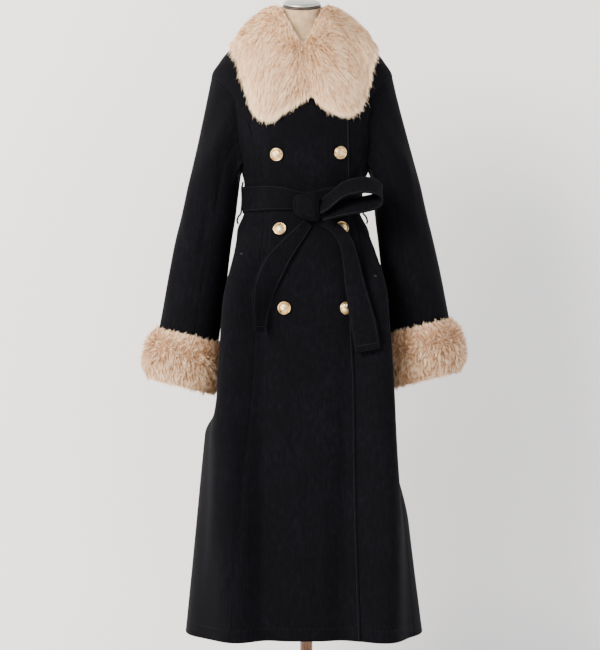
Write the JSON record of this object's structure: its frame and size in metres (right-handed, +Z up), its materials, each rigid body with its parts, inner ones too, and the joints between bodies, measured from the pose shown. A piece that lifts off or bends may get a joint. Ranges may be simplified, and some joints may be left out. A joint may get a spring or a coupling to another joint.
{
  "type": "double-breasted coat on a limbless dress form",
  "caption": "Long belted double-breasted wool coat with a fur collar and fur cuffs, standing on a limbless dress form with a pole and a round base.",
  "frame": {"origin": "centre of the underside of the form's round base, on the floor", "axes": "+Z up along the form, -Y towards the coat's front, +X towards the wearer's left"},
  "size_m": [0.6901, 0.3944, 1.5063],
  "materials": {
    "coat_cloth": "brushed wool melton, near black",
    "fur": "long faux fur pile, cream beige",
    "button_metal": "pale gold plated, polished",
    "form_cover": "plain linen stretched over the form",
    "form_wood": "stained and lacquered beech",
    "cap_satin": "satin nickel neck cap"
  },
  "bodies": {
    "root": {"back": "coat_cloth", "belt_band": "coat_cloth", "belt_bow": "coat_cloth", "belt_knot": "coat_cloth", "belt_tail_left": "coat_cloth", "belt_tail_right": "coat_cloth", "button_1": "button_metal", "button_2": "button_metal", "button_3": "button_metal", "button_4": "button_metal", "button_5": "button_metal", "button_6": "button_metal", "carrier_left": "coat_cloth", "carrier_right": "coat_cloth", "form_base": "form_wood", "form_bust": "form_cover", "form_cap": "cap_satin", "form_cap_rim": "form_wood", "form_pole": "form_wood", "form_socket": "form_wood", "front_left": "coat_cloth", "front_right": "coat_cloth", "fur_collar": "fur", "fur_cuff_left": "fur", "fur_cuff_right": "fur", "side_back_left": "coat_cloth", "side_back_right": "coat_cloth", "side_front_left": "coat_cloth", "side_front_right": "coat_cloth", "sleeve_under_left": "coat_cloth", "sleeve_under_right": "coat_cloth", "sleeve_upper_left": "coat_cloth", "sleeve_upper_right": "coat_cloth"}
  },
  "joints": []
}
